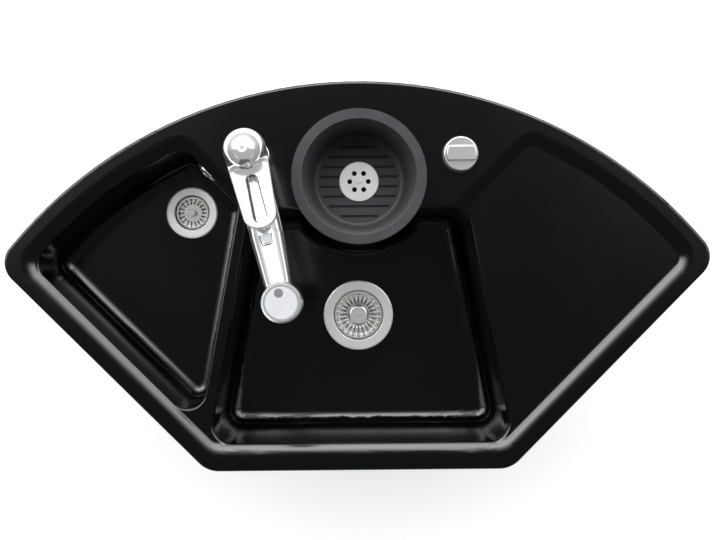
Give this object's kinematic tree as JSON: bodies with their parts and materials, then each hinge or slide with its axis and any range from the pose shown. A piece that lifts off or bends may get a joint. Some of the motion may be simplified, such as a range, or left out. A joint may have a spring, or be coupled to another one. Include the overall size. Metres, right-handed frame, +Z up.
{
  "type": "corner kitchen sink with tap",
  "caption": "Black glazed ceramic corner sink with a large bowl, a half bowl, a round insert bowl, a pull-out spray lever tap, a waste knob and the wastes beneath.",
  "frame": {"origin": "on the worktop, under the middle of the front rim, 12 mm behind the front edge", "axes": "+X along the front edge to the right, +Y from the front edge to the back of the corner, +Z up"},
  "size_m": [1.0838, 0.5979, 0.5282],
  "materials": {
    "black_ceramic": "glossy black glaze",
    "seal_rubber": "matt",
    "steel": "polished stainless steel",
    "plumbing_plastic": "moulded grey white",
    "nut_plastic": "moulded black",
    "chrome": "bright chrome",
    "brass": "turned",
    "grey_trim": "fine matt",
    "cap_trim": "silver",
    "insert_plastic": "anthracite, fine matt"
  },
  "bodies": {
    "fixed": {"sink_body": "black_ceramic", "rim_seal": "seal_rubber", "main_waste_body": "steel", "main_flange_seal": "seal_rubber", "main_under_seal": "seal_rubber", "main_lock_nut": "plumbing_plastic", "main_tail": "plumbing_plastic", "lifter_gland": "plumbing_plastic", "main_tee": "plumbing_plastic", "half_waste_body": "steel", "half_flange_seal": "seal_rubber", "half_under_seal": "seal_rubber", "half_lock_nut": "plumbing_plastic", "half_tail": "plumbing_plastic", "connecting_pipe": "plumbing_plastic", "slip_nuts": "nut_plastic", "slip_seals": "seal_rubber", "overflow_rosette": "chrome", "overflow_screw": "steel", "overflow_seal": "seal_rubber", "overflow_elbow": "plumbing_plastic", "overflow_pipe": "plumbing_plastic", "tap_deck_seal": "seal_rubber", "tap_base": "chrome", "tap_bush": "plumbing_plastic", "tap_shank": "brass", "tap_washer": "steel", "tap_nut": "brass", "knob_deck_seal": "seal_rubber", "knob_base": "chrome", "knob_washer": "steel", "knob_nut": "brass", "knob_housing": "nut_plastic"},
    "tap": {"tap_body": "chrome", "dock_bush": "plumbing_plastic", "tap_cartridge": "plumbing_plastic", "cartridge_nut": "brass"},
    "lever_yoke": {"lever_spindle": "brass", "lever_pin": "steel"},
    "lever": {"tap_lever": "chrome"},
    "spray": {"spray_body": "chrome", "spray_nipple": "brass", "head_cap": "cap_trim", "head_inlay": "grey_trim", "nozzle_plate": "grey_trim"},
    "key": {"spray_key": "grey_trim"},
    "knob": {"knob_cap": "chrome", "knob_spindle": "plumbing_plastic"},
    "lifter": {"lifter_pin": "steel"},
    "basket": {"main_basket": "steel", "main_basket_stem": "steel", "main_basket_seal": "seal_rubber"},
    "plug": {"half_plug": "steel", "half_plug_stem": "steel", "half_plug_seal": "seal_rubber"},
    "insert": {"insert_bowl": "insert_plastic", "insert_grid": "steel", "insert_screw": "steel", "insert_grid_seal": "seal_rubber", "insert_tail": "insert_plastic"}
  },
  "joints": [
    {"name": "tap_swivel", "type": "hinge", "parent": "fixed", "child": "tap", "pos_m": [-0.159, 0.471, 0.019], "axis": [0, 0, -1], "range_deg": [-60, 60]},
    {"name": "lever_turn", "type": "hinge", "parent": "tap", "child": "lever_yoke", "pos_m": [-0.15801, 0.46712, 0.112], "axis": [0, 0, 1], "range_deg": [-40, 40]},
    {"name": "lever_tilt", "type": "hinge", "parent": "lever_yoke", "child": "lever", "pos_m": [-0.15801, 0.46712, 0.129], "axis": [-0.969, -0.247, 0], "range_deg": [0, 25]},
    {"name": "spray_pull", "type": "slide", "parent": "tap", "child": "spray", "axis": [0.2306, -0.9047, 0.3584], "range_m": [0, 0.15]},
    {"name": "key_press", "type": "slide", "parent": "spray", "child": "key", "axis": [0.0885, -0.3473, -0.9336], "range_m": [0, 0.0025], "stiffness_N_per_m": 600, "springref_m": -0.002},
    {"name": "knob_turn", "type": "hinge", "parent": "fixed", "child": "knob", "pos_m": [0.159, 0.471, 0.03], "axis": [0, 0, -1], "range_deg": [0, 90]},
    {"name": "lifter_rise", "type": "slide", "parent": "fixed", "child": "lifter", "axis": [0, 0, 1], "range_m": [0, 0.0081]},
    {"name": "basket_lift", "type": "slide", "parent": "lifter", "child": "basket", "axis": [0, 0, 1], "range_m": [0, 0.06]},
    {"name": "plug_lift", "type": "slide", "parent": "fixed", "child": "plug", "axis": [0, 0, 1], "range_m": [0, 0.06]},
    {"name": "insert_lift", "type": "slide", "parent": "fixed", "child": "insert", "axis": [0, 0, 1], "range_m": [0, 0.11]}
  ],
  "couplings": [
    {"joint": "lifter_rise", "follows": "knob_turn", "m_per_rad": 0.005093}
  ]
}
